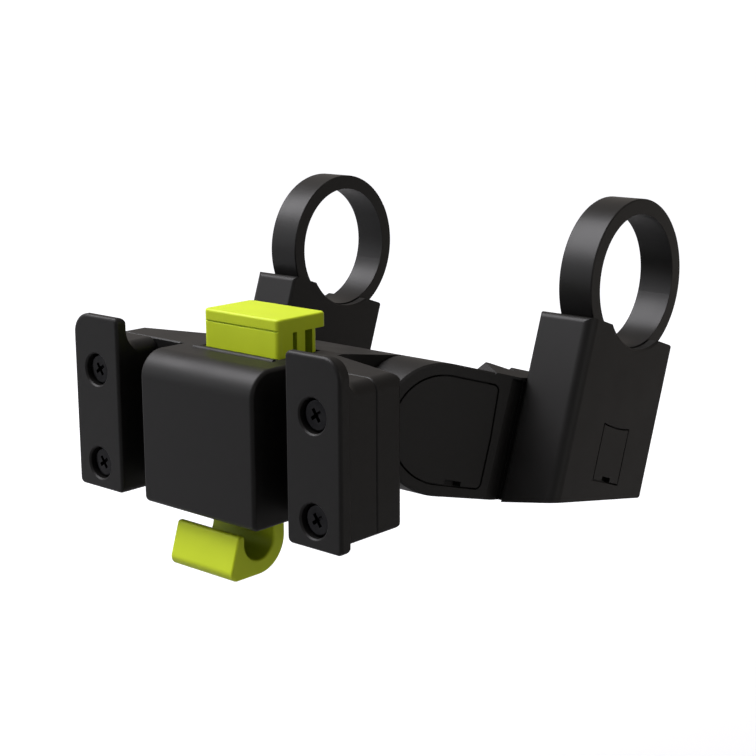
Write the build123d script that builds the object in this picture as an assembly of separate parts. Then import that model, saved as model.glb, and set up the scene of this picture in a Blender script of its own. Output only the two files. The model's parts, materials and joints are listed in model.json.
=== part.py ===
from build123d import *
import math
import os

# Handlebar bag mount in millimetres. X runs to the right as seen from the bag,
# Y runs back towards the handlebar and Z runs up. The drawing starts on the front
# plane of the two bag rails, midway between them, level with their lower ends;
# the finished pieces are moved so that the origin lies on the handlebar's axis.

# Bag rails, the two upright plates that the bag's holder slides over
RAIL_TOP = 41.6
RAIL_BOTTOM = -0.35
RAIL_SPACING = 54.3
RAIL_WIDTH = 15.85
RAIL_PLATE = 2.8
RAIL_CORNER = 5.0
RAIL_SMALL_CORNER = 1.4
RAIL_LIP = 1.0
RAIL_EDGE = 0.8
RAIL_BACK_ROUND = 1.5
RAIL_COVE = 3.7
RAIL_SHOULDER = 2.8
RAIL_FOOT = 4.0
RAIL_WALL = 2.4

# Base bracket behind the rails
SEAM_Y = 12.3
SEAM_GROOVE = 0.3
BASE_TOP = 35.4
BASE_BOTTOM = 1.2
BASE_CORNER = 1.0
BASE_SIDE_Y = 20.3
BASE_SWEEP = 16.0
BASE_HEEL = 1.5
BASE_BACK_ROUND = 2.3
CORE_WALL = 2.6

# Cross-head screws that hold the rails on the bracket
RAIL_SCREW_LOW = 5.9
RAIL_SCREW_HIGH = 28.6
SCREW_SHANK = 3.5
SCREW_HEAD = 7.0
SCREW_HEAD_HEIGHT = 2.2
SCREW_CROWN = 0.5
SCREW_RECESS = 7.6
SCREW_SUNK = 1.2
SCREW_LENGTH = 13.8
RECESS_RIM = 0.35
CROSS_LENGTH = 3.2
CROSS_WIDTH = 0.8
CROSS_DEPTH = 1.1
CROSS_TURN = 35.0
HOLE_END = 0.3
HEAD_CLEARANCE = 0.4
SHANK_CLEARANCE = 0.08

# Lock housing between the rails
LOCK_WIDTH = 36.4
LOCK_FRONT = -0.95
LOCK_BOTTOM = -0.1
LOCK_BROW = 6.0
LOCK_CHIN = 1.6
LOCK_EDGE = 0.9
LOCK_WALL = 2.4
LOCK_RIB = 1.6
LOCK_RIB_SPACING = 7.1
BEAD_R = 0.6
BEAD_RISE = 0.4
BEAD_LENGTH = 26.0
CLIP_WIDTH = 6.0
CLIP_REACH = 3.2
CLIP_THICKNESS = 1.6
CLIP_BARB = 0.8
CLIP_BARB_LENGTH = 1.2
CLIP_CLEARANCE = 0.25

# Latch, one moulding with the push button on top and the hook below
BUTTON_WIDTH = 24.5
BUTTON_FRONT = 13.45
BUTTON_DEPTH = 12.45
BUTTON_TOP = 44.1
BUTTON_FOOT = 29.0
BUTTON_EDGE = 1.4
BUTTON_CROWN = 0.6
CAP_HEIGHT = 3.4
CAP_OVERHANG = 2.9
CAP_GROOVE = 0.35
CAP_GROOVE_RISE = 0.5
BUTTON_WALL = 4.4
BUTTON_SLOT = 1.3
BUTTON_RIB = 2.6
BUTTON_REAR = 1.85
BUTTON_SPINE = 7.0
SHANK_WIDTH = 20.4
SHANK_FRONT = 12.85
HOOK_WALL = 3.5
HOOK_SLOT = 9.15
HOOK_CENTRE_Z = -5.6
HOOK_LIP_TOP = -3.5
HOOK_LIP_WALL = 1.7
HOOK_RAMP = 3.2
HOOK_TOE_ROUND = 2.0
HOOK_TIP_ROUND = 0.7
HOOK_EDGE = 0.5
LATCH_CLEARANCE = 0.4
STOP_LUG = 1.5
STOP_HEIGHT = 3.0
STOP_LEDGE_Z = 8.0
STOP_CLEARANCE = 0.2

# Return spring under the button
SPRING_SEAT_Z = 12.0
SPRING_COIL = 7.4
SPRING_WIRE = 0.9
SPRING_TURNS = 6
SPRING_GUIDE = 5.4
SPRING_GUIDE_HEIGHT = 3.0

# Tilt pivot across the back of the bracket
PIVOT_Y = 44.0
PIVOT_Z = 16.9
KNUCKLE_R = 15.36
KNUCKLE_WIDTH = 38.4
FRICTION_DISC = 0.5
FRICTION_DISC_R = 11.0
PIVOT_BOLT = 6.0
PIVOT_FIT = 0.05
PIVOT_HEAD = 10.0
PIVOT_HEAD_HEIGHT = 4.0
PIVOT_HEAD_EDGE = 0.5
PIVOT_SOCKET = 5.0
PIVOT_NUT_AF = 10.0
PIVOT_NUT_HEIGHT = 4.0
PIVOT_WASHER_R = 6.2
PIVOT_WASHER = 1.2
BOLT_TAIL = 1.0
FACE_GAP = 0.05

# Arms that splay out from the pivot to the handlebar clamps
ARM_TILT = 17.0
ARM_SPLAY = 20.2
ARM_OUTER_X = 34.0
ARM_FLOOR = 4.3
ARM_STRAIGHT = 20.0
ARM_BEND_START = 8.0
ARM_BEND = 34.2
ARM_TAIL = 9.4
ARM_TAIL_R = 9.0
ARM_RISE = 1.7
ARM_EDGE = 0.5
STRIP_RUN = 4.0
STRIP_DEPTH = 1.3
STRIP_SLOT = 1.1
COVER_R = 12.34
COVER_LENGTH = 12.0
COVER_RISE = 0.5
COVER_CORNER = 1.3
COVER_THICKNESS = 2.2
COVER_GAP = 0.4
COVER_LEDGE = 1.6
COVER_NOTCH = 4.2
COVER_NOTCH_DEPTH = 1.3
COVER_NOTCH_AT = 5.0
SKIRT_WALL = 1.2
SKIRT_DEPTH = 1.6
SKIRT_ROOT = 0.2
SKIRT_BREAK = 6.2
RIB_WIDTH = 6.0
RIB_SINK = 0.6
RIB_START = 10.4
RIB_RISE_END = 12.9
RIB_CREST = 14.0
RIB_HEIGHT = 2.1
RIB_DIP_AT = 19.1
RIB_DIP = 1.3
RIB_STEP_AT = 19.9
RIB_END = 25.0

# Handlebar clamps
BAR_Y = 95.1
BAR_Z = 47.05
BAR_R = 16.0
CLAMP_LEAN = 19.0
CLAMP_INNER_X = 40.4
CLAMP_WIDTH = 14.9
CLAMP_FRONT = 19.7
CLAMP_REAR = 17.5
CLAMP_TOP = 12.5
CLAMP_DROP_FRONT = 56.1
CLAMP_DROP_REAR = 50.8
CLAMP_FOOT_RISE = 2.6
CLAMP_NOSE = 2.6
CLAMP_EDGE = 0.8
CLAMP_SHOULDER = 1.5
CLAMP_HEEL = 1.8
SADDLE_RELIEF = 0.3
SADDLE_EDGE = 0.4

# Closed band that draws the bar down on the saddle
BAND_THICKNESS = 3.66
BAND_WIDTH = 9.2
BAND_CLEARANCE = 0.3
BAND_EDGE = 0.35
STEM_WIDTH = 12.0
STEM_END = 44.4
CHANNEL_END = 45.0
BAND_SCREW = 5.0
BAND_SCREW_HEAD = 8.5
BAND_SCREW_HEAD_HEIGHT = 5.0
BAND_SEAT = 48.4
BAND_SCREW_TIP = 32.5
BAND_NUT = 8.0
BAND_NUT_HEIGHT = 4.0
BAND_NUT_AT = 41.0
NUT_CLEARANCE = 0.15
HEX_SOCKET = 4.0
HEX_DEPTH = 2.4

# Small cover over the nut window in each clamp
FLAG_WIDTH = 10.8
FLAG_TOP_R = 36.0
FLAG_BOTTOM = 48.8
FLAG_THICKNESS = 1.5
FLAG_GAP = 0.35
FLAG_NOTCH = 3.6
FLAG_NOTCH_DEPTH = 1.1
WINDOW_WIDTH = 8.6
WINDOW_TOP = 37.6
WINDOW_BOTTOM = 44.4

# Screws that hold each clamp on its arm
CLAMP_SCREW = 4.0
CLAMP_SCREW_HEAD = 7.0
CLAMP_SCREW_HEAD_HEIGHT = 4.0
CLAMP_SCREW_DEPTH = 7.5
CLAMP_SCREW_SOCKET = 3.0
CLAMP_SCREW_FORE = 11.5
CLAMP_SCREW_AFT = 9.5
CLAMP_SCREW_DROP = 40.0

# Values worked out from the driving dimensions
RAIL_IN = RAIL_SPACING / 2
RAIL_OUT = RAIL_IN + RAIL_WIDTH
RAIL_X = RAIL_IN + RAIL_WIDTH / 2
BASE_HALF = RAIL_OUT - RAIL_LIP
LOCK_HALF = LOCK_WIDTH / 2
BUTTON_HALF = BUTTON_WIDTH / 2
BUTTON_BACK = BUTTON_FRONT + BUTTON_DEPTH
SHANK_HALF = SHANK_WIDTH / 2
SHANK_BACK = SHANK_FRONT + HOOK_WALL
KNUCKLE_HALF = KNUCKLE_WIDTH / 2
ARM_INNER_X = KNUCKLE_HALF + FRICTION_DISC + FACE_GAP
ARM_SEAT_X = ARM_INNER_X + ARM_FLOOR
WASHER_X = ARM_SEAT_X + FACE_GAP
ARM_SLOPE = math.tan(math.radians(ARM_SPLAY))
TAIL_INNER_X = CLAMP_INNER_X - ARM_TAIL
CLAMP_OUTER_X = CLAMP_INNER_X + CLAMP_WIDTH
CLAMP_X = CLAMP_INNER_X + CLAMP_WIDTH / 2
BAND_R = BAR_R + BAND_THICKNESS
CHANNEL_HALF = STEM_WIDTH / 2 + BAND_CLEARANCE
SLOT_HALF = BAND_WIDTH / 2 + BAND_CLEARANCE
SPRING_Y = (SHANK_BACK + BUTTON_BACK) / 2
FOOT_SLOPE = (CLAMP_DROP_FRONT - CLAMP_DROP_REAR) / (CLAMP_FRONT + CLAMP_REAR)
FOOT_LEAN = CLAMP_FOOT_RISE / CLAMP_WIDTH
CLAMP_SCREWS = (-CLAMP_SCREW_FORE, CLAMP_SCREW_AFT)
REACH = 200.0


def tilted(y, z, angle):
    """Upright plane along the X axis through (y, z), its first axis falling back by the angle."""
    a = math.radians(angle)
    along = (0, math.cos(a), -math.sin(a))
    return Plane(origin=(0, y, z), x_dir=along, z_dir=(1, 0, 0))


SIDE = Plane.YZ
ARM = tilted(PIVOT_Y, PIVOT_Z, ARM_TILT)
CLAMP = tilted(BAR_Y, BAR_Z, CLAMP_LEAN)


def block(x0, x1, y0, y1, z0, z1):
    """Box between two corners."""
    size = (x1 - x0, y1 - y0, z1 - z0)
    return Pos((x0 + x1) / 2, (y0 + y1) / 2, (z0 + z1) / 2) * Box(*size)


def across(plane, sketch, x0, x1):
    """Sketch on an upright plane, extruded along X from x0 to x1."""
    return Pos(x0, 0, 0) * extrude(plane * sketch, x1 - x0)


def rounded(x0, x1, z0, z1, radii):
    """Flat rectangle between two corners, with corner radii in the order of
    lower left, lower right, upper right and upper left."""
    corners = [(x0, z0), (x1, z0), (x1, z1), (x0, z1)]
    face = Pos((x0 + x1) / 2, (z0 + z1) / 2) * Rectangle(x1 - x0, z1 - z0)
    for corner, radius in zip(corners, radii):
        if radius > 0:
            at = face.vertices().sort_by_distance((*corner, 0))[0]
            face = fillet(at, radius)
    return face


def front_prism(outline, y0, y1):
    """Front outline extruded back from y0 to y1."""
    facing = Plane(origin=(0, y0, 0), x_dir=(1, 0, 0), z_dir=(0, -1, 0))
    return extrude(facing * outline, -(y1 - y0))


def rod_x(y, z, radius, x0, x1):
    """Round bar along X."""
    return across(SIDE, Pos(y, z) * Circle(radius), x0, x1)


def rod_y(x, z, radius, y0, y1):
    """Round bar along Y."""
    return front_prism(Pos(x, z) * Circle(radius), y0, y1)


def clamp_point(u, v):
    """World (y, z) of a point given in the clamp's leaning frame."""
    spot = CLAMP.from_local_coords(Vector(u, v, 0))
    return spot.Y, spot.Z


def rail():
    """Right-hand bag rail: front plate, body behind it and the cove above the body."""
    small = RAIL_SMALL_CORNER
    plate_face = rounded(RAIL_IN, RAIL_OUT, RAIL_BOTTOM, RAIL_TOP, (small, small, RAIL_CORNER, small))
    plate = front_prism(plate_face, 0, RAIL_PLATE)
    plate = fillet(plate.faces().sort_by(Axis.Y)[0].edges(), RAIL_EDGE)
    radii = (0, RAIL_BACK_ROUND, RAIL_BACK_ROUND, 0)
    plate &= across(SIDE, rounded(-RAIL_PLATE, RAIL_PLATE, RAIL_BOTTOM, RAIL_TOP, radii), 0, REACH)
    radii = (BASE_CORNER, BASE_CORNER, RAIL_SHOULDER, RAIL_SHOULDER)
    body = front_prism(rounded(RAIL_IN, BASE_HALF, BASE_BOTTOM, BASE_TOP, radii), RAIL_PLATE, SEAM_Y)
    foot = rounded(RAIL_IN, RAIL_IN + RAIL_FOOT, RAIL_BOTTOM, RAIL_FOOT, (small, BASE_CORNER, 0, 0))
    body += front_prism(foot, RAIL_PLATE / 2, SEAM_Y)
    body = chamfer(body.faces().sort_by(Axis.Y)[-1].edges(), SEAM_GROOVE)
    rail_solid = plate + body + rail_cove()
    head_back = SCREW_SUNK + SCREW_HEAD_HEIGHT
    boss = SCREW_RECESS / 2 + RAIL_WALL
    rail_solid -= block(RAIL_IN + RAIL_WALL, BASE_HALF - RAIL_WALL, head_back + RAIL_WALL, SEAM_Y,
                        RAIL_SCREW_LOW + boss, RAIL_SCREW_HIGH - boss)
    for z in (RAIL_SCREW_LOW, RAIL_SCREW_HIGH):
        rail_solid -= rod_y(RAIL_X, z, SCREW_RECESS / 2, 0, head_back)
        rail_solid -= rod_y(RAIL_X, z, SCREW_SHANK / 2 + SHANK_CLEARANCE, 0, SEAM_Y)
    rims = rail_solid.edges().filter_by(GeomType.CIRCLE).filter_by_position(Axis.Y, -0.01, 0.01)
    return chamfer(rims.filter_by(lambda e: abs(2 * e.radius - SCREW_RECESS) < 0.01), RECESS_RIM)


def rail_cove():
    """Hollow fillet between the plate's back and the rounded top of the body behind it."""
    top = BASE_TOP + RAIL_COVE
    low = BASE_TOP - RAIL_SHOULDER / 2
    back = RAIL_PLATE + RAIL_COVE
    section = Pos(RAIL_PLATE + RAIL_COVE / 2, (low + top) / 2) * Rectangle(RAIL_COVE, top - low)
    section -= Pos(back, top) * Circle(RAIL_COVE)
    ends = (RAIL_IN + RAIL_SHOULDER, BASE_HALF - RAIL_SHOULDER)
    cove = across(SIDE, section, *ends)
    for x, turn in zip(ends, (-90, 90)):
        hub = Axis((x, 0, BASE_TOP - RAIL_SHOULDER), (0, 1, 0))
        cove += revolve(Pos(x, 0, 0) * (SIDE * section), hub, turn)
    above_body = rounded(RAIL_IN, BASE_HALF, RAIL_BOTTOM, RAIL_TOP, (0, 0, RAIL_CORNER, 0))
    return cove & front_prism(above_body, 0, SEAM_Y)


def rail_screw(x, z):
    """Pan-head screw with a cross recess, pointing back along Y."""
    face = SCREW_SUNK + SCREW_HEAD_HEIGHT
    head = rod_y(x, z, SCREW_HEAD / 2, SCREW_SUNK, face)
    head = fillet(head.edges().sort_by(Axis.Y)[0], SCREW_CROWN)
    cross = Rectangle(CROSS_LENGTH, CROSS_WIDTH) + Rectangle(CROSS_WIDTH, CROSS_LENGTH)
    cross = Pos(x, z) * Rot(0, 0, CROSS_TURN) * cross
    head -= front_prism(cross, SCREW_SUNK, SCREW_SUNK + CROSS_DEPTH)
    return head + rod_y(x, z, SCREW_SHANK / 2, face, face + SCREW_LENGTH)


def lock_housing():
    """Rounded box in front of the latch, open behind, with guide ribs, two clips and a beaded sill."""
    depth = SEAM_Y - LOCK_FRONT
    tall = BASE_TOP - LOCK_BOTTOM
    profile = Pos(LOCK_FRONT + depth / 2, LOCK_BOTTOM + tall / 2) * Rectangle(depth, tall)
    for z, radius in ((BASE_TOP, LOCK_BROW), (LOCK_BOTTOM, LOCK_CHIN)):
        profile = fillet(profile.vertices().sort_by_distance((LOCK_FRONT, z, 0))[0], radius)
    shell = across(SIDE, profile, -LOCK_HALF, LOCK_HALF)
    ends = [e for face in shell.faces().filter_by(Axis.X) for e in face.edges()]
    shell = fillet([e for e in ends if e.center().Y < SEAM_Y - LOCK_EDGE], LOCK_EDGE)
    inner = LOCK_HALF - LOCK_WALL
    cavity = block(-inner, inner, LOCK_FRONT + LOCK_WALL, SEAM_Y,
                   LOCK_BOTTOM + LOCK_WALL, BASE_TOP - LOCK_WALL)
    cavity = fillet(cavity.edges().filter_by(Axis.X).sort_by_distance((0, LOCK_FRONT, BASE_TOP))[0],
                    LOCK_BROW - LOCK_WALL / 2)
    shell -= cavity
    guide_y = SHANK_FRONT - LATCH_CLEARANCE
    for x in (-LOCK_RIB_SPACING, 0, LOCK_RIB_SPACING):
        shell += block(x - LOCK_RIB / 2, x + LOCK_RIB / 2, LOCK_FRONT + LOCK_WALL / 2, guide_y,
                       LOCK_BOTTOM + LOCK_WALL / 2, BASE_TOP - LOCK_BROW)
    shell += block(-BUTTON_HALF, BUTTON_HALF, SEAM_Y - LOCK_WALL, BUTTON_FRONT - LATCH_CLEARANCE,
                   BASE_TOP - LOCK_WALL, BASE_TOP)
    bead_half = BEAD_LENGTH / 2
    shell += rod_x(SEAM_Y - 2 * BEAD_R, BASE_TOP + BEAD_RISE - BEAD_R, BEAD_R, -bead_half, bead_half)
    for side in (-1, 1):
        shell += clip(side, 0)
    return shell


def clip(side, clearance):
    """Snap clip at one side of the housing, or the slot for it when given a clearance."""
    near = LOCK_HALF - LOCK_WALL
    mid = (BASE_TOP + LOCK_BOTTOM) / 2
    half = CLIP_WIDTH / 2 + clearance
    tongue = block(near - clearance, near + CLIP_THICKNESS + clearance, SEAM_Y - LOCK_WALL + clearance,
                   SEAM_Y + CLIP_REACH + clearance, mid - half, mid + half)
    tip = SEAM_Y + CLIP_REACH
    barb = block(near, near + CLIP_THICKNESS + CLIP_BARB + clearance, tip - CLIP_BARB_LENGTH - clearance,
                 tip + clearance, mid - half, mid + half)
    both = tongue + barb
    return both if side > 0 else mirror(both, about=Plane.YZ)


def base_bracket():
    """Rear moulding: swept plate behind the rails, latch channel, web and pivot knuckle."""
    sweep = math.tan(math.radians(BASE_SWEEP))
    back_y = BASE_SIDE_Y + (BASE_HALF - KNUCKLE_HALF) * sweep
    right = [(0, SEAM_Y), (BASE_HALF, SEAM_Y), (BASE_HALF, BASE_SIDE_Y), (KNUCKLE_HALF, back_y), (0, back_y)]
    left = [(-x, y) for x, y in reversed(right[1:-1])]
    plan = make_face(Polyline(*right, *left, close=True))
    plan = fillet([v for v in plan.vertices() if abs(v.Y - BASE_SIDE_Y) < 0.01], BASE_HEEL)
    plate = extrude(plan, BASE_TOP)
    radii = (BASE_CORNER, BASE_CORNER, RAIL_SHOULDER, RAIL_SHOULDER)
    plate &= front_prism(rounded(-BASE_HALF, BASE_HALF, BASE_BOTTOM, BASE_TOP, radii), 0, REACH)
    edges = back_edges()
    plate = plate - edges - mirror(edges, about=Plane.YZ)
    plate = chamfer(plate.faces().sort_by(Axis.Y)[0].edges(), SEAM_GROOVE)
    ring = Pos(PIVOT_Y, PIVOT_Z) * Circle(KNUCKLE_R)
    root = Pos(SEAM_Y + (back_y - SEAM_Y) / 2, (BASE_TOP + BASE_BOTTOM) / 2) * Rectangle(
        back_y - SEAM_Y, BASE_TOP - BASE_BOTTOM)
    web_profile = make_hull([*ring.edges(), *root.edges()])
    web = across(SIDE, web_profile, -KNUCKLE_HALF, KNUCKLE_HALF)
    bracket = plate + web
    bracket -= rod_x(PIVOT_Y, PIVOT_Z, PIVOT_BOLT / 2 + PIVOT_FIT, -KNUCKLE_HALF, KNUCKLE_HALF)
    bracket -= latch_channel()
    bracket += spring_guide(SPRING_SEAT_Z, SPRING_SEAT_Z + SPRING_GUIDE_HEIGHT)
    boss = SCREW_SHANK / 2 + CORE_WALL
    floor_y = SEAM_Y + CORE_WALL
    core = block(KNUCKLE_HALF + CORE_WALL * 2, BASE_HALF - CORE_WALL, floor_y, REACH,
                 RAIL_SCREW_LOW + boss, RAIL_SCREW_HIGH - boss)
    hollow_y = BUTTON_BACK + CAP_OVERHANG + CORE_WALL
    relief = block(CORE_WALL, KNUCKLE_HALF - CORE_WALL, hollow_y, PIVOT_Y - PIVOT_BOLT / 2 - CORE_WALL,
                   -REACH, PIVOT_Z + PIVOT_BOLT)
    for side in (1, -1):
        facing = core if side > 0 else mirror(core, about=Plane.YZ)
        hollow = relief if side > 0 else mirror(relief, about=Plane.YZ)
        bracket -= facing
        bracket -= hollow
        bracket -= clip(side, CLIP_CLEARANCE)
        for z in (RAIL_SCREW_LOW, RAIL_SCREW_HIGH):
            end = SCREW_SUNK + SCREW_HEAD_HEIGHT + SCREW_LENGTH + HOLE_END
            bracket -= rod_y(side * RAIL_X, z, SCREW_SHANK / 2 + SHANK_CLEARANCE, SEAM_Y, end)
    return bracket


def back_edges():
    """Space outside the rounded upper and lower edges of the bracket's swept back, on the right."""
    a = math.radians(BASE_SWEEP)
    outwards = (math.cos(a), -math.sin(a), 0)
    backwards = (math.sin(a), math.cos(a), 0)
    corner = Plane(origin=(BASE_HALF, BASE_SIDE_Y, 0), x_dir=backwards, z_dir=outwards)
    r = BASE_BACK_ROUND
    tall = BASE_TOP - BASE_BOTTOM
    section = Rectangle(2 * r, tall + 2 * r) - rounded(-2 * r, 0, -tall / 2, tall / 2, (0, r, r, 0))
    return extrude(corner * Pos(0, (BASE_TOP + BASE_BOTTOM) / 2) * section, REACH, both=True)


def latch_channel():
    """Upright channel for the latch, open at the front, with a ledge that stops the lugs."""
    button_half = BUTTON_HALF + LATCH_CLEARANCE
    shank_half = SHANK_HALF + LATCH_CLEARANCE
    lug_half = SHANK_HALF + STOP_LUG + LATCH_CLEARANCE
    shank_back = SHANK_BACK + LATCH_CLEARANCE
    well = block(-button_half, button_half, 0, BUTTON_BACK + LATCH_CLEARANCE, SPRING_SEAT_Z, REACH)
    throat = block(-shank_half, shank_half, 0, shank_back, -REACH, REACH)
    foot = block(-lug_half, lug_half, 0, shank_back, -REACH, STOP_LEDGE_Z)
    return well + throat + foot


def spring_guide(z0, z1):
    """Short round post that centres one end of the return spring."""
    return Pos(0, SPRING_Y, (z0 + z1) / 2) * Cylinder(SPRING_GUIDE / 2, z1 - z0)


def latch():
    """Push button, shank and hook as one moulding."""
    cap_z = BUTTON_TOP - CAP_HEIGHT
    body = block(-BUTTON_HALF, BUTTON_HALF, BUTTON_FRONT, BUTTON_BACK, BUTTON_FOOT, BUTTON_TOP)
    cap = block(-BUTTON_HALF, BUTTON_HALF, BUTTON_FRONT, BUTTON_BACK + CAP_OVERHANG, cap_z, BUTTON_TOP)
    button = body + cap
    uprights = button.edges().filter_by(Axis.Z)
    button = fillet(uprights, BUTTON_EDGE)
    button = fillet(button.faces().sort_by(Axis.Z)[-1].edges(), BUTTON_CROWN)
    slot_front = BUTTON_FRONT + BUTTON_WALL
    rib_front = slot_front + BUTTON_SLOT
    slots = ((slot_front, rib_front), (rib_front + BUTTON_RIB, BUTTON_BACK - BUTTON_REAR))
    for side in (1, -1):
        for y0, y1 in slots:
            x0, x1 = sorted((side * BUTTON_SPINE / 2, side * REACH))
            button -= block(x0, x1, y0, y1, BUTTON_FOOT + CAP_HEIGHT, cap_z)
    groove_z = cap_z + CAP_GROOVE_RISE
    button -= block(-BUTTON_HALF, BUTTON_HALF, BUTTON_FRONT, BUTTON_FRONT + CAP_GROOVE,
                    groove_z, groove_z + CAP_GROOVE)
    button += spring_guide(BUTTON_FOOT - SPRING_GUIDE_HEIGHT, BUTTON_FOOT + CAP_HEIGHT / 2)
    shank_top = BUTTON_FOOT + CAP_HEIGHT
    shank = Pos((SHANK_FRONT + SHANK_BACK) / 2, (HOOK_CENTRE_Z + shank_top) / 2) * Rectangle(
        HOOK_WALL, shank_top - HOOK_CENTRE_Z)
    hook = across(SIDE, hook_profile() + shank, -SHANK_HALF, SHANK_HALF)
    sides = [e for face in hook.faces().filter_by(Axis.X) for e in face.edges()]
    hook = fillet(sides, HOOK_EDGE)
    lug_top = STOP_LEDGE_Z - STOP_CLEARANCE
    lugs = block(-SHANK_HALF - STOP_LUG, SHANK_HALF + STOP_LUG, SHANK_FRONT, SHANK_BACK,
                 lug_top - STOP_HEIGHT, lug_top)
    return button + hook + lugs


def hook_profile():
    """Side view of the hook: round bend under the slot and a ramped lip in front."""
    inner = HOOK_SLOT / 2
    outer = inner + HOOK_WALL
    centre = (SHANK_FRONT - inner, HOOK_CENTRE_Z)
    lip_back = SHANK_FRONT - HOOK_SLOT
    bottom = HOOK_CENTRE_Z - outer
    lip_front = lip_back - HOOK_LIP_WALL
    tip_back, tip_front = (lip_back, HOOK_LIP_TOP), (lip_front, HOOK_LIP_TOP)
    toe = (lip_front - HOOK_RAMP, bottom)
    points = [(lip_back, HOOK_CENTRE_Z), tip_back, tip_front, toe, (centre[0], bottom), centre]
    lip = make_face(Polyline(*points, close=True))
    for corner, radius in ((toe, HOOK_TOE_ROUND), (tip_back, HOOK_TIP_ROUND), (tip_front, HOOK_TIP_ROUND)):
        lip = fillet(lip.vertices().sort_by_distance((*corner, 0))[0], radius)
    bend = Pos(*centre) * Circle(outer)
    bend &= Pos(centre[0] + outer / 2, HOOK_CENTRE_Z - outer / 2) * Rectangle(outer, outer)
    return lip + bend - Pos(*centre) * Circle(inner)


def return_spring():
    """Compression spring between the bracket's seat and the button."""
    length = BUTTON_FOOT - SPRING_SEAT_Z - SPRING_WIRE
    radius = SPRING_COIL / 2 - SPRING_WIRE / 2
    path = Helix(length / SPRING_TURNS, length, radius)
    section = Plane(origin=path @ 0, z_dir=path % 0) * RegularPolygon(SPRING_WIRE / 2, 8)
    coil = sweep(section, path=path)
    return Pos(0, SPRING_Y, SPRING_SEAT_Z + SPRING_WIRE / 2) * coil


def hexagon(across_flats):
    """Six-sided outline with the given width across flats."""
    return RegularPolygon(across_flats / 2, 6, major_radius=False)


def pivot_bolt():
    """Hex socket bolt through both arms and the knuckle, its head on the right."""
    head_x = WASHER_X + PIVOT_WASHER
    tail_x = -(head_x + PIVOT_NUT_HEIGHT + BOLT_TAIL)
    bolt = rod_x(PIVOT_Y, PIVOT_Z, PIVOT_BOLT / 2, tail_x, head_x)
    head = rod_x(PIVOT_Y, PIVOT_Z, PIVOT_HEAD / 2, head_x, head_x + PIVOT_HEAD_HEIGHT)
    head = fillet(head.edges().sort_by(Axis.X)[-1], PIVOT_HEAD_EDGE)
    socket = across(ARM, hexagon(PIVOT_SOCKET), head_x + PIVOT_HEAD_HEIGHT - HEX_DEPTH, REACH)
    return bolt + head - socket


def pivot_nut():
    """Nut on the left end of the pivot bolt."""
    x1 = -(WASHER_X + PIVOT_WASHER)
    nut = across(ARM, hexagon(PIVOT_NUT_AF), x1 - PIVOT_NUT_HEIGHT, x1)
    return nut - rod_x(PIVOT_Y, PIVOT_Z, PIVOT_BOLT / 2 + PIVOT_FIT, -REACH, REACH)


def disc(radius, x0, x1):
    """Flat washer on the pivot bolt."""
    ring = rod_x(PIVOT_Y, PIVOT_Z, radius, x0, x1)
    return ring - rod_x(PIVOT_Y, PIVOT_Z, PIVOT_BOLT / 2 + PIVOT_FIT, x0, x1)


def plan_prism(frame, sketch):
    """Plan outline in a tilted frame, as (distance along the frame, X), extruded through the height."""
    plane = Plane(origin=frame.origin, x_dir=frame.x_dir, z_dir=-frame.y_dir)
    return extrude(plane * sketch, REACH, both=True)


def outer_x(u):
    """X of the arm's splayed outer face at a distance along the arm."""
    return ARM_OUTER_X + u * ARM_SLOPE


def splay_slab(top, bottom):
    """Space between two planes parallel to the splayed outer face, given as depths below it."""
    ends = (-REACH, REACH)
    upper = [(u, outer_x(u) - top) for u in ends]
    lower = [(u, outer_x(u) - bottom) for u in reversed(ends)]
    return plan_prism(ARM, make_face(Polyline(*upper, *lower, close=True)))


def cover_outline(grow):
    """Round-nosed outline of the arm cover, grown outwards by the given amount."""
    tail = Line((COVER_LENGTH, COVER_R), (COVER_LENGTH, COVER_RISE - COVER_R))
    shape = make_hull([*Circle(COVER_R).edges(), tail])
    corners = [v for v in shape.vertices() if v.X > COVER_LENGTH - 0.01]
    shape = fillet(corners, COVER_CORNER)
    return offset(shape, grow) if grow else shape


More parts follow.
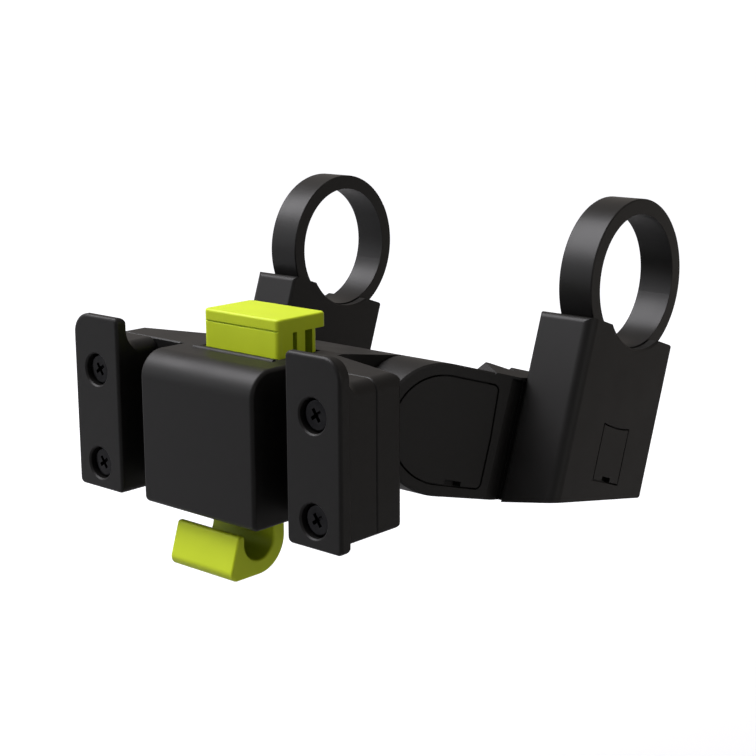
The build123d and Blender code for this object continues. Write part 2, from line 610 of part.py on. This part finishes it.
def arm():
    """Right-hand arm: round pivot end, splayed neck, hollow for the bolt head and tail beside the clamp."""
    end = ARM.to_local_coords(Vector(0, *clamp_point(CLAMP_SCREW_AFT, -CLAMP_SCREW_DROP)))
    waist = Pos(ARM_STRAIGHT, ARM_RISE / 2) * Circle(KNUCKLE_R - ARM_RISE / 2)
    rings = [Circle(KNUCKLE_R), waist, Pos(end.X, end.Y) * Circle(ARM_TAIL_R)]
    profile = make_hull([edge for ring in rings for edge in ring.edges()])
    meet = (CLAMP_INNER_X - ARM_OUTER_X) / ARM_SLOPE
    bend_end = ARM_BEND_START + (TAIL_INNER_X - ARM_INNER_X) / math.tan(math.radians(ARM_BEND))
    far = end.X + 2 * ARM_TAIL_R
    start = -KNUCKLE_R - 1
    plan = [(start, ARM_INNER_X), (ARM_BEND_START, ARM_INNER_X), (bend_end, TAIL_INNER_X),
            (far, TAIL_INNER_X), (far, CLAMP_INNER_X), (meet, CLAMP_INNER_X), (start, outer_x(start))]
    solid = across(ARM, profile, 0, REACH) & plan_prism(ARM, make_face(Polyline(*plan, close=True)))
    outer = solid.faces().filter_by(lambda f: abs(f.normal_at().X - math.cos(math.radians(ARM_SPLAY))) < 0.01)
    solid = chamfer(outer.edges().filter_by(lambda e: e.length > 2 * KNUCKLE_R), ARM_EDGE)
    solid -= strip_hollow()
    solid += arm_rib()
    pocket = across(ARM, cover_outline(-COVER_LEDGE), ARM_SEAT_X, REACH)
    solid -= pocket
    solid -= across(ARM, cover_outline(COVER_GAP), 0, REACH) & splay_slab(-REACH / 4, COVER_THICKNESS)
    solid -= rod_x(PIVOT_Y, PIVOT_Z, PIVOT_BOLT / 2 + PIVOT_FIT, 0, ARM_SEAT_X)
    for u in CLAMP_SCREWS:
        y, z = clamp_point(u, -CLAMP_SCREW_DROP)
        solid -= rod_x(y, z, CLAMP_SCREW / 2 + SHANK_CLEARANCE, 0, REACH)
        solid -= rod_x(y, z, CLAMP_SCREW_HEAD / 2 + HEAD_CLEARANCE, 0, TAIL_INNER_X + CLAMP_SCREW_HEAD_HEIGHT)
    return solid


def strip_hollow():
    """Space beside the strip in front of the clamp, which rounds off into a slot along the clamp's front."""
    crease = -CLAMP_FRONT
    fade = (crease - STRIP_RUN, CLAMP_INNER_X - STRIP_RUN * ARM_SLOPE)
    root = (crease, CLAMP_INNER_X - STRIP_DEPTH)
    far = crease + STRIP_SLOT
    rim = TangentArc(fade, root, tangent=(1, ARM_SLOPE))
    walls = Polyline(root, (far, root[1]), (far, CLAMP_OUTER_X), (fade[0], CLAMP_OUTER_X), fade)
    return plan_prism(CLAMP, make_face([rim, walls]))


def arm_rib():
    """Raised edge along the top of the neck: a rise, a dip and a step that runs on beside the clamp.
    Its top leans down to the splayed outer face."""
    low = KNUCKLE_R - RIB_SINK
    top = KNUCKLE_R + RIB_HEIGHT
    points = [(RIB_START, low), (RIB_RISE_END, top), (RIB_CREST, top), (RIB_DIP_AT, KNUCKLE_R + RIB_DIP),
              (RIB_STEP_AT, top), (RIB_END, top), (RIB_END, low)]
    rib = across(ARM, make_face(Polyline(*points, close=True)), 0, CLAMP_INNER_X) & splay_slab(0, RIB_WIDTH)
    neck = Vector(ARM_SLOPE, 0, 0) + ARM.x_dir
    inwards = Vector(-RIB_WIDTH, 0, 0) + ARM.y_dir * RIB_HEIGHT
    edge = ARM.from_local_coords(Vector(0, KNUCKLE_R, ARM_OUTER_X))
    roof = Plane(origin=edge, x_dir=neck, z_dir=neck.cross(inwards))
    up = 1 if roof.z_dir.Z > 0 else -1
    return rib - extrude(roof * Rectangle(2 * REACH, 2 * REACH), up * REACH)


def arm_cover():
    """Snap cover over the pivot hollow, with a pry notch in its lower edge."""
    notch = Pos(COVER_NOTCH_AT, -COVER_R) * Rectangle(COVER_NOTCH, 2 * COVER_NOTCH_DEPTH)
    plate = across(ARM, cover_outline(0) - notch, 0, REACH) & splay_slab(0, COVER_THICKNESS)
    inset = -COVER_LEDGE - COVER_GAP
    skirt = cover_outline(inset) - cover_outline(inset - SKIRT_WALL)
    skirt -= Pos(COVER_NOTCH_AT, -COVER_R) * Rectangle(SKIRT_BREAK, 2 * COVER_R)
    depths = (COVER_THICKNESS - SKIRT_ROOT, COVER_THICKNESS + SKIRT_DEPTH)
    legs = across(ARM, skirt, 0, REACH) & splay_slab(*depths)
    return plate + legs


def clamp_profile():
    """Leaning side view of the clamp block, its foot rising towards the rear."""
    front_low = -CLAMP_DROP_FRONT - CLAMP_FOOT_RISE
    rear_low = -CLAMP_DROP_REAR - CLAMP_FOOT_RISE
    shoulders = [(-CLAMP_FRONT, -CLAMP_TOP), (CLAMP_REAR, -CLAMP_TOP)]
    face = make_face(Polyline(*shoulders, (CLAMP_REAR, rear_low), (-CLAMP_FRONT, front_low), close=True))
    for corner in shoulders:
        face = fillet(face.vertices().sort_by_distance((*corner, 0))[0], CLAMP_SHOULDER)
    return face


def foot_wedge():
    """Space under the clamp's foot, which rises towards the outer side."""
    along = CLAMP.x_dir + CLAMP.y_dir * FOOT_SLOPE
    outwards = Vector(1, 0, 0) + CLAMP.y_dir * FOOT_LEAN
    corner = CLAMP.from_local_coords(Vector(-CLAMP_FRONT, -CLAMP_DROP_FRONT - CLAMP_FOOT_RISE, CLAMP_INNER_X))
    floor = Plane(origin=corner, x_dir=along, z_dir=along.cross(outwards))
    down = -1 if floor.z_dir.Z > 0 else 1
    return extrude(floor * Rectangle(REACH, REACH), down * REACH / 2)


def heel_round():
    """Space outside the rounded lower rear edge of the clamp's foot."""
    r = CLAMP_HEEL
    slope = FOOT_SLOPE / math.hypot(1, FOOT_LEAN)
    steep = math.hypot(1, slope)
    middle = (-r, r * (steep - slope))
    on_foot = (middle[0] + r * slope / steep, middle[1] - r / steep)
    on_rear = (0, middle[1])
    section = make_face(Polyline(on_foot, (r, -r), on_rear, close=True)) - Pos(*middle) * Circle(r)
    corner = CLAMP.from_local_coords(Vector(CLAMP_REAR, -CLAMP_DROP_REAR - CLAMP_FOOT_RISE, CLAMP_INNER_X))
    edge = Plane(origin=corner, x_dir=CLAMP.x_dir, z_dir=Vector(1, 0, 0) + CLAMP.y_dir * FOOT_LEAN)
    return extrude(edge * section, 2 * CLAMP_WIDTH, both=True)


def clamp_block():
    """Right-hand clamp block: saddle for the bar, slot for the band and channel for its stem."""
    plan = rounded(-CLAMP_FRONT, CLAMP_REAR, CLAMP_INNER_X, CLAMP_OUTER_X,
                   (CLAMP_EDGE, CLAMP_EDGE, CLAMP_EDGE, CLAMP_NOSE))
    solid = across(CLAMP, clamp_profile(), 0, REACH) & plan_prism(CLAMP, plan)
    solid -= foot_wedge()
    solid -= heel_round()
    saddle_r = BAR_R + SADDLE_RELIEF
    solid -= across(CLAMP, Circle(saddle_r), 0, REACH)
    rims = solid.edges().filter_by(GeomType.CIRCLE).filter_by(lambda e: abs(e.radius - saddle_r) < 0.01)
    solid = chamfer(rims, SADDLE_EDGE)
    solid -= across(CLAMP, Circle(BAND_R + BAND_CLEARANCE), CLAMP_X - SLOT_HALF, CLAMP_X + SLOT_HALF)
    channel = Pos(0, -CHANNEL_END / 2) * Rectangle(2 * CHANNEL_HALF, CHANNEL_END)
    solid -= across(CLAMP, channel, CLAMP_X - SLOT_HALF, CLAMP_X + SLOT_HALF)
    solid -= down_rod(BAND_SCREW / 2 + BAND_CLEARANCE, CHANNEL_END, BAND_SEAT)
    solid -= down_rod(BAND_SCREW_HEAD / 2 + HEAD_CLEARANCE, BAND_SEAT, REACH)
    recess = CLAMP_OUTER_X - FLAG_THICKNESS
    solid -= across(CLAMP, flag_outline(FLAG_GAP), recess, REACH)
    window = Pos(0, -(WINDOW_TOP + WINDOW_BOTTOM) / 2) * Rectangle(WINDOW_WIDTH, WINDOW_BOTTOM - WINDOW_TOP)
    solid -= across(CLAMP, window, CLAMP_X, REACH)
    for u in CLAMP_SCREWS:
        y, z = clamp_point(u, -CLAMP_SCREW_DROP)
        end = CLAMP_INNER_X + CLAMP_SCREW_DEPTH + HOLE_END
        solid -= rod_x(y, z, CLAMP_SCREW / 2 + SHANK_CLEARANCE, CLAMP_INNER_X, end)
    return solid


def down_rod(radius, v0, v1):
    """Round bar along the clamp's leaning upright axis, between two depths below the bar."""
    top = CLAMP.from_local_coords(Vector(0, -v0, CLAMP_X))
    axis = Plane(origin=top, x_dir=(1, 0, 0), z_dir=-CLAMP.y_dir)
    return extrude(axis * Circle(radius), v1 - v0)


def flag_outline(grow):
    """Small cover outline: straight sides, and a hollow top edge that follows the bar."""
    half = FLAG_WIDTH / 2 + grow
    bottom = FLAG_BOTTOM + grow
    face = Pos(0, -bottom / 2) * Rectangle(2 * half, bottom)
    return face - Circle(FLAG_TOP_R - grow)


def clamp_cover():
    """Flat snap cover over the nut window, with a pry notch in its lower edge."""
    notch = Pos(0, -FLAG_BOTTOM) * Rectangle(FLAG_NOTCH, 2 * FLAG_NOTCH_DEPTH)
    return across(CLAMP, flag_outline(0) - notch, CLAMP_OUTER_X - FLAG_THICKNESS, CLAMP_OUTER_X)


def clamp_band():
    """Closed hoop round the bar with a stem below it that holds the nut."""
    x0, x1 = CLAMP_X - BAND_WIDTH / 2, CLAMP_X + BAND_WIDTH / 2
    hoop = across(CLAMP, Circle(BAND_R), x0, x1)
    hoop = fillet(hoop.edges(), BAND_EDGE)
    stem_top = BAND_R - BAND_THICKNESS / 2
    stem = Pos(0, -(stem_top + STEM_END) / 2) * Rectangle(STEM_WIDTH, STEM_END - stem_top)
    band = hoop + across(CLAMP, stem, x0, x1)
    band -= across(CLAMP, Circle(BAR_R), 0, REACH)
    pocket_half = BAND_NUT / 2 + NUT_CLEARANCE
    pocket = Pos(0, -BAND_NUT_AT) * Rectangle(2 * pocket_half, BAND_NUT_HEIGHT + 2 * NUT_CLEARANCE)
    band -= across(CLAMP, pocket, CLAMP_X - pocket_half, REACH)
    return band - down_rod(BAND_SCREW / 2 + BAND_CLEARANCE, BAND_SCREW_TIP - 1, REACH)


def band_nut():
    """Square nut captive in the band's stem."""
    half = BAND_NUT / 2
    side_view = Pos(0, -BAND_NUT_AT) * Rectangle(BAND_NUT, BAND_NUT_HEIGHT)
    nut = across(CLAMP, side_view, CLAMP_X - half, CLAMP_X + half)
    return nut - down_rod(BAND_SCREW / 2 + PIVOT_FIT, 0, REACH)


def band_screw():
    """Socket-head screw that pulls the band's stem down from below."""
    shank = down_rod(BAND_SCREW / 2, BAND_SCREW_TIP, BAND_SEAT)
    head = down_rod(BAND_SCREW_HEAD / 2, BAND_SEAT, BAND_SEAT + BAND_SCREW_HEAD_HEIGHT)
    foot = CLAMP.from_local_coords(Vector(0, -BAND_SEAT - BAND_SCREW_HEAD_HEIGHT, CLAMP_X))
    socket = extrude(Plane(origin=foot, x_dir=(1, 0, 0), z_dir=CLAMP.y_dir) * hexagon(HEX_SOCKET), HEX_DEPTH)
    return shank + head - socket


def clamp_screw(u):
    """Socket-head screw from the arm's tail into the clamp block."""
    y, z = clamp_point(u, -CLAMP_SCREW_DROP)
    seat = TAIL_INNER_X + CLAMP_SCREW_HEAD_HEIGHT
    screw = rod_x(y, z, CLAMP_SCREW_HEAD / 2, TAIL_INNER_X, seat)
    screw += rod_x(y, z, CLAMP_SCREW / 2, seat, CLAMP_INNER_X + CLAMP_SCREW_DEPTH)
    plane = tilted(y, z, CLAMP_LEAN)
    return screw - across(plane, hexagon(CLAMP_SCREW_SOCKET), 0, TAIL_INNER_X + HEX_DEPTH)


def save(name, *solids):
    """Write one node, made of one solid or of several alike, measured from the bar's centre."""
    placed = [Pos(0, -BAR_Y, -BAR_Z) * solid for solid in solids]
    shape = placed[0] if len(placed) == 1 else Compound(children=placed)
    export_step(shape, f"parts/{name}.step")


def save_pair(name, right):
    """Write a right-hand node and its mirror image on the left."""
    save(f"{name}_right", right)
    save(f"{name}_left", mirror(right, about=Plane.YZ))


os.makedirs("parts", exist_ok=True)
save("base_bracket", base_bracket())
save("lock_housing", lock_housing())
save_pair("rail", rail())
spots = [(side * RAIL_X, z) for side in (1, -1) for z in (RAIL_SCREW_LOW, RAIL_SCREW_HIGH)]
save("rail_screws", *[rail_screw(x, z) for x, z in spots])
save("latch", latch())
save("return_spring", return_spring())
save("pivot_bolt", pivot_bolt())
save("pivot_nut", pivot_nut())
save_pair("friction_disc", disc(FRICTION_DISC_R, KNUCKLE_HALF, KNUCKLE_HALF + FRICTION_DISC))
save_pair("pivot_washer", disc(PIVOT_WASHER_R, WASHER_X, WASHER_X + PIVOT_WASHER))
save_pair("arm", arm())
save_pair("arm_cover", arm_cover())
save_pair("clamp_block", clamp_block())
save_pair("clamp_band", clamp_band())
save_pair("clamp_cover", clamp_cover())
save_pair("band_nut", band_nut())
save_pair("band_screw", band_screw())
screws = [clamp_screw(u) for u in CLAMP_SCREWS]
save("clamp_screws_right", *screws)
save("clamp_screws_left", *[mirror(s, about=Plane.YZ) for s in screws])
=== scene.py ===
import json
import math

import bpy
from mathutils import Matrix, Vector


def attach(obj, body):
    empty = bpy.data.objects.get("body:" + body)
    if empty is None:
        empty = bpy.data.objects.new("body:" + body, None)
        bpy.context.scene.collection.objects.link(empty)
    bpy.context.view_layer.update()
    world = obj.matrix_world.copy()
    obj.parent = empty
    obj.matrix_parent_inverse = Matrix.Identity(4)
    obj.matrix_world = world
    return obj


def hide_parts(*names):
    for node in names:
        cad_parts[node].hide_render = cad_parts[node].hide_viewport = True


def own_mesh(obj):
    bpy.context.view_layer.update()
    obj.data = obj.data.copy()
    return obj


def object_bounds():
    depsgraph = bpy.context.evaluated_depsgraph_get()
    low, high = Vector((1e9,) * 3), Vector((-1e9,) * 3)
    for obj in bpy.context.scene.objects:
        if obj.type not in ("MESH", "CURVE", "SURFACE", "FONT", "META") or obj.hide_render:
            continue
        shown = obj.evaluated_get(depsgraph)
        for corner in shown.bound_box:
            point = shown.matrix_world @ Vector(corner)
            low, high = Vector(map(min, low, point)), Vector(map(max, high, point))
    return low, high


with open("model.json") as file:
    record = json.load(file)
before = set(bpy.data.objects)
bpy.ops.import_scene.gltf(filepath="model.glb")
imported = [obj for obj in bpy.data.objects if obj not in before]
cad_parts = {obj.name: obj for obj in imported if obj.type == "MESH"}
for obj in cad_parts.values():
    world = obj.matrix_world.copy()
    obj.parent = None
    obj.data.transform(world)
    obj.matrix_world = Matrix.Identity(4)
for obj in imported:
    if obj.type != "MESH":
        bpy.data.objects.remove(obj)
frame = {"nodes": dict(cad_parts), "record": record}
cad_low, cad_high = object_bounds()

MM = 0.001

# Camera, matched to the photograph: angles in degrees, lengths in millimetres
CAMERA_AZIMUTH = 41.513
CAMERA_ELEVATION = 12.543
CAMERA_ROLL = -0.227
CAMERA_DISTANCE = 362.0
CAMERA_TARGET = (21.66, -59.40, -18.31)
CAMERA_LENS = 75.58
CAMERA_SENSOR = 36.0
CAMERA_NEAR = 10.0

# Softboxes: a large key from the upper left front, a weak fill and a weaker bounce, in millimetres and watts
SOFTBOXES = {
    "key": dict(direction=(-0.47, -0.325, 0.81), distance=800.0, size=620.0,
                power=11.4, colour=(1.0, 0.99, 1.03)),
    "fill": dict(direction=(0.95, -0.05, 0.28), distance=900.0, size=620.0,
                 power=1.3, colour=(1.0, 0.97, 0.94)),
    "bounce": dict(direction=(-0.62, -0.75, 0.2), distance=900.0, size=700.0,
                   power=0.6, colour=(0.98, 0.98, 1.04)),
}

# Floor well below the part; lift is what the camera sees and gloss what reflections see, near and far
FLOOR_DROP = 120.0
FLOOR_SIZE = 20000.0
FLOOR_TONE = 0.4
FLOOR_LIFT = (0.62, 1.0)
FLOOR_GLOSS = (0.03, 0.25)
FLOOR_FADE = (180.0, 620.0)

# World: an even light, and a bright wall that rises into a dimmer ceiling for the reflections
WORLD_LIGHT = 0.05
WALL_LEAN = 0.45
CEILING_GLOW = 0.27
CEILING_RISE = (0.1, 0.45)

# Tint of the reflected room: cool at the wall and in front, warm at the ceiling and behind on the right
COOL = (1.0, 1.0, 1.03)
WARM = (1.42, 1.3, 1.2)
WARM_SIDE = (0.7, 0.7, 0.0)
WARM_REACH = (-300.0, 300.0)

# Dark side of the reflected room, at the right front: directions for the world, millimetres for the floor
DARK_SIDE = (0.66, -0.75, 0.0)
DARK_LEVEL = 0.35
DARK_RISE = (0.15, 0.75)
DARK_REACH = (40.0, 400.0)

# Stretch of a noise value that the colours and the roughness are spread over
RAMP = (0.3, 0.7)

# Surface of the pieces, in millimetres: softened edges, grain and mottling of plastic, lines of metal
EDGE_RADIUS = 0.18
EDGE_SAMPLES = 6
GRAIN_SIZE = 0.22
GRAIN_DEPTH = 0.03
GRAIN_DETAIL = 2.0
MOTTLE_SIZE = 9.0
MOTTLE_DETAIL = 3.0
LINE_SIZE = 0.3
LINE_DEPTH = 0.01
LINE_RELIEF = 0.15
STAIN_SIZE = 3.0

# Moulded slots: two close colours, range of roughness, reflectance and strength of the grain
MOULDED = {
    "black_plastic": dict(dark=(0.0062, 0.0059, 0.0056), light=(0.0074, 0.0070, 0.0067),
                          rough=(0.43, 0.49), specular=0.205, relief=0.25),
    "band_plastic": dict(dark=(0.0066, 0.0063, 0.0060), light=(0.0078, 0.0075, 0.0072),
                         rough=(0.36, 0.41), specular=0.22, relief=0.15),
    "lime_plastic": dict(dark=(0.54, 0.66, 0.020), light=(0.57, 0.69, 0.023),
                         rough=(0.42, 0.50), specular=0.25, relief=0.12),
    "friction_disc": dict(dark=(0.045, 0.042, 0.040), light=(0.065, 0.060, 0.055),
                          rough=(0.80, 0.92), specular=0.20, relief=0.6),
}

# Metal slots: two close colours, range of roughness and how tightly the lines lie along each axis
METAL = {
    "black_screw": dict(dark=(0.012, 0.012, 0.013), light=(0.020, 0.020, 0.021),
                        rough=(0.16, 0.26), brushed=(1, 1, 1)),
    "steel": dict(dark=(0.52, 0.52, 0.53), light=(0.62, 0.62, 0.62),
                  rough=(0.22, 0.38), brushed=(1, 6, 6)),
}


def metres(lengths):
    """Lengths given in millimetres, in metres."""
    return [length * MM for length in lengths]


def make_material(name):
    """New node material with its tree and its shader, ready for links."""
    material = bpy.data.materials.new(name)
    material.use_nodes = True
    tree = material.node_tree
    return material, tree, tree.nodes["Principled BSDF"]


def noise(tree, coords, size, detail=GRAIN_DETAIL):
    """Noise texture whose features are about the given size in millimetres."""
    node = tree.nodes.new("ShaderNodeTexNoise")
    node.inputs["Scale"].default_value = 1.0 / (size * MM)
    node.inputs["Detail"].default_value = detail
    tree.links.new(coords, node.inputs["Vector"])
    return node.outputs["Fac"]


def spread(tree, value, reach, ends, smooth=True):
    """Map a value's reach onto two end values, with or without eased ends."""
    node = tree.nodes.new("ShaderNodeMapRange")
    node.interpolation_type = "SMOOTHSTEP" if smooth else "LINEAR"
    node.inputs["From Min"].default_value, node.inputs["From Max"].default_value = reach
    node.inputs["To Min"].default_value, node.inputs["To Max"].default_value = ends
    tree.links.new(value, node.inputs["Value"])
    return node.outputs["Result"]


def blend(tree, value, first, second):
    """Colour that goes from the first to the second as the value crosses the ramp."""
    node = tree.nodes.new("ShaderNodeValToRGB")
    for end, position, colour in zip(node.color_ramp.elements, RAMP, (first, second)):
        end.position = position
        end.color = (*colour, 1.0)
    tree.links.new(value, node.inputs["Fac"])
    return node.outputs["Color"]


def combine(tree, operation, first, second):
    """Math node over two values, each a socket or a number."""
    node = tree.nodes.new("ShaderNodeMath")
    node.operation = operation
    for value, socket in zip((first, second), node.inputs):
        if isinstance(value, float):
            socket.default_value = value
        else:
            tree.links.new(value, socket)
    return node.outputs[0]


def along(tree, coords, direction):
    """Length of a coordinate along a direction."""
    node = tree.nodes.new("ShaderNodeVectorMath")
    node.operation = "DOT_PRODUCT"
    node.inputs[1].default_value = direction
    tree.links.new(coords, node.inputs[0])
    return node.outputs["Value"]


def in_reflections(tree, path):
    """Flag of the rays that show the room on metal or through glass."""
    return combine(tree, "MAXIMUM", path.outputs["Is Glossy Ray"], path.outputs["Is Transmission Ray"])


def roughen(tree, shader, height, strength, depth):
    """Fine relief over softened edges."""
    edge = tree.nodes.new("ShaderNodeBevel")
    edge.samples = EDGE_SAMPLES
    edge.inputs["Radius"].default_value = EDGE_RADIUS * MM
    bump = tree.nodes.new("ShaderNodeBump")
    bump.inputs["Strength"].default_value = strength
    bump.inputs["Distance"].default_value = depth * MM
    tree.links.new(height, bump.inputs["Height"])
    tree.links.new(edge.outputs["Normal"], bump.inputs["Normal"])
    tree.links.new(bump.outputs["Normal"], shader.inputs["Normal"])


def moulded(name, dark, light, rough, specular, relief):
    """Injection-moulded plastic: fine grain, faint mottling and uneven gloss."""
    material, tree, shader = make_material(name)
    coords = tree.nodes.new("ShaderNodeTexCoord").outputs["Object"]
    broad = noise(tree, coords, MOTTLE_SIZE, MOTTLE_DETAIL)
    grain = noise(tree, coords, GRAIN_SIZE)
    tree.links.new(blend(tree, broad, dark, light), shader.inputs["Base Color"])
    tree.links.new(spread(tree, broad, RAMP, rough, smooth=False), shader.inputs["Roughness"])
    shader.inputs["Specular IOR Level"].default_value = specular
    roughen(tree, shader, grain, relief, GRAIN_DEPTH)
    return material


def metal(name, dark, light, rough, brushed):
    """Plated or blackened steel with fine drawn lines and faint stains."""
    material, tree, shader = make_material(name)
    coords = tree.nodes.new("ShaderNodeTexCoord").outputs["Object"]
    stretch = tree.nodes.new("ShaderNodeMapping")
    stretch.inputs["Scale"].default_value = brushed
    tree.links.new(coords, stretch.inputs["Vector"])
    lines = noise(tree, stretch.outputs["Vector"], LINE_SIZE)
    stains = noise(tree, coords, STAIN_SIZE)
    tree.links.new(blend(tree, stains, dark, light), shader.inputs["Base Color"])
    tree.links.new(spread(tree, lines, RAMP, rough, smooth=False), shader.inputs["Roughness"])
    shader.inputs["Metallic"].default_value = 1.0
    roughen(tree, shader, lines, LINE_RELIEF, LINE_DEPTH)
    return material


def dress_nodes():
    """Give every CAD node the material of its slot."""
    looks = {slot: moulded(slot, **look) for slot, look in MOULDED.items()}
    looks.update({slot: metal(slot, **look) for slot, look in METAL.items()})
    for part in frame["record"]["subparts"]:
        mesh = frame["nodes"][part["node"]].data
        mesh.materials.clear()
        mesh.materials.append(looks[part["material_slot"]])


def press_spring():
    """Copy of the return spring in its place, parented to the receiver's body, with the original node
    hidden.
    """
    node = frame["nodes"]["return_spring"]
    coil = bpy.data.objects.new("return_spring_coil", node.data.copy())
    coil.matrix_world = node.matrix_world.copy()
    bpy.context.scene.collection.objects.link(coil)
    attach(coil, "receiver")
    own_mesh(coil)
    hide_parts("return_spring")


def camera_axes():
    """Right, up and back directions of the photograph's camera."""
    azimuth, elevation, roll = (math.radians(v) for v in (CAMERA_AZIMUTH, CAMERA_ELEVATION, CAMERA_ROLL))
    flat = math.cos(elevation)
    back = Vector((math.sin(azimuth) * flat, -math.cos(azimuth) * flat, math.sin(elevation)))
    level = Vector((math.cos(azimuth), math.sin(azimuth), 0.0))
    right = level * math.cos(roll) + back.cross(level) * math.sin(roll)
    return right, back.cross(right), back


def add_camera():
    """Camera at the photograph's angle, distance and lens."""
    right, up, back = camera_axes()
    data = bpy.data.cameras.new("photo_camera")
    data.sensor_width = CAMERA_SENSOR
    data.sensor_fit = "HORIZONTAL"
    data.lens = CAMERA_LENS
    data.clip_start = CAMERA_NEAR * MM
    camera = bpy.data.objects.new("photo_camera", data)
    place = (Vector(CAMERA_TARGET) + back * CAMERA_DISTANCE) * MM
    turn = Matrix((right, up, back)).transposed().to_4x4()
    camera.matrix_world = Matrix.Translation(place) @ turn
    bpy.context.scene.collection.objects.link(camera)
    bpy.context.scene.camera = camera


def add_softbox(name, direction, distance, size, power, colour):
    """Square area light that faces the middle of the part."""
    data = bpy.data.lights.new(name, "AREA")
    data.shape = "SQUARE"
    data.size = size * MM
    data.energy = power
    data.color = colour
    light = bpy.data.objects.new(name, data)
    middle = (cad_low + cad_high) / 2
    towards = Vector(direction).normalized()
    light.location = middle + towards * distance * MM
    light.rotation_euler = towards.to_track_quat("Z", "Y").to_euler()
    bpy.context.scene.collection.objects.link(light)


def add_world():
    """Dim even light; the camera sees white, and reflections see a wall, a ceiling and a dark side."""
    world = bpy.data.worlds.new("studio")
    world.use_nodes = True
    tree = world.node_tree
    background = tree.nodes["Background"]
    path = tree.nodes.new("ShaderNodeLightPath")
    coords = tree.nodes.new("ShaderNodeTexCoord").outputs["Generated"]
    rise = along(tree, coords, (0.0, WALL_LEAN, 1.0))
    tint = blend(tree, spread(tree, rise, CEILING_RISE, RAMP), COOL, WARM)
    sweep = spread(tree, rise, CEILING_RISE, (1.0, CEILING_GLOW))
    dark = spread(tree, along(tree, coords, DARK_SIDE), DARK_RISE, (1.0, DARK_LEVEL))
    room = combine(tree, "MULTIPLY", sweep, dark)
    seen = combine(tree, "MULTIPLY", in_reflections(tree, path), room)
    seen = combine(tree, "MAXIMUM", seen, path.outputs["Is Camera Ray"])
    strength = combine(tree, "MAXIMUM", seen, WORLD_LIGHT)
    tree.links.new(tint, background.inputs["Color"])
    tree.links.new(strength, background.inputs["Strength"])
    bpy.context.scene.world = world


def floor_material():
    """Pale matte floor: white to the camera, a tinted grey in reflections, and lit by the lamps."""
    material, tree, shader = make_material("floor_pale")
    shader.inputs["Base Color"].default_value = (FLOOR_TONE, FLOOR_TONE, FLOOR_TONE, 1.0)
    shader.inputs["Roughness"].default_value = 1.0
    shader.inputs["Specular IOR Level"].default_value = 0.0
    coords = tree.nodes.new("ShaderNodeTexCoord").outputs["Object"]
    path = tree.nodes.new("ShaderNodeLightPath")
    mirrored = in_reflections(tree, path)
    away = tree.nodes.new("ShaderNodeVectorMath")
    away.operation = "LENGTH"
    tree.links.new(coords, away.inputs[0])
    lift = spread(tree, away.outputs["Value"], metres(FLOOR_FADE), FLOOR_LIFT)
    gloss = spread(tree, away.outputs["Value"], metres(FLOOR_FADE), FLOOR_GLOSS)
    dark = spread(tree, along(tree, coords, DARK_SIDE), metres(DARK_REACH), (1.0, DARK_LEVEL))
    warm = spread(tree, along(tree, coords, WARM_SIDE), metres(WARM_REACH), RAMP)
    tint = blend(tree, combine(tree, "MULTIPLY", mirrored, warm), COOL, WARM)
    reflected = combine(tree, "MULTIPLY", mirrored, combine(tree, "MULTIPLY", gloss, dark))
    shown = combine(tree, "MULTIPLY", path.outputs["Is Camera Ray"], lift)
    strength = combine(tree, "MAXIMUM", reflected, shown)
    tree.links.new(tint, shader.inputs["Emission Color"])
    tree.links.new(strength, shader.inputs["Emission Strength"])
    return material


def add_floor():
    """Floor below the part; it keeps the soft shadow and fades into the white background."""
    half = FLOOR_SIZE / 2 * MM
    level = cad_low.z - FLOOR_DROP * MM
    corners = [(x * half, y * half, level) for x, y in ((-1, -1), (1, -1), (1, 1), (-1, 1))]
    mesh = bpy.data.meshes.new("floor")
    mesh.from_pydata(corners, [], [(0, 1, 2, 3)])
    mesh.materials.append(floor_material())
    floor = bpy.data.objects.new("floor", mesh)
    bpy.context.scene.collection.objects.link(floor)


bpy.context.scene.view_settings.view_transform = "Standard"
dress_nodes()
press_spring()
add_world()
for softbox, settings in SOFTBOXES.items():
    add_softbox(softbox, **settings)
add_floor()
add_camera()
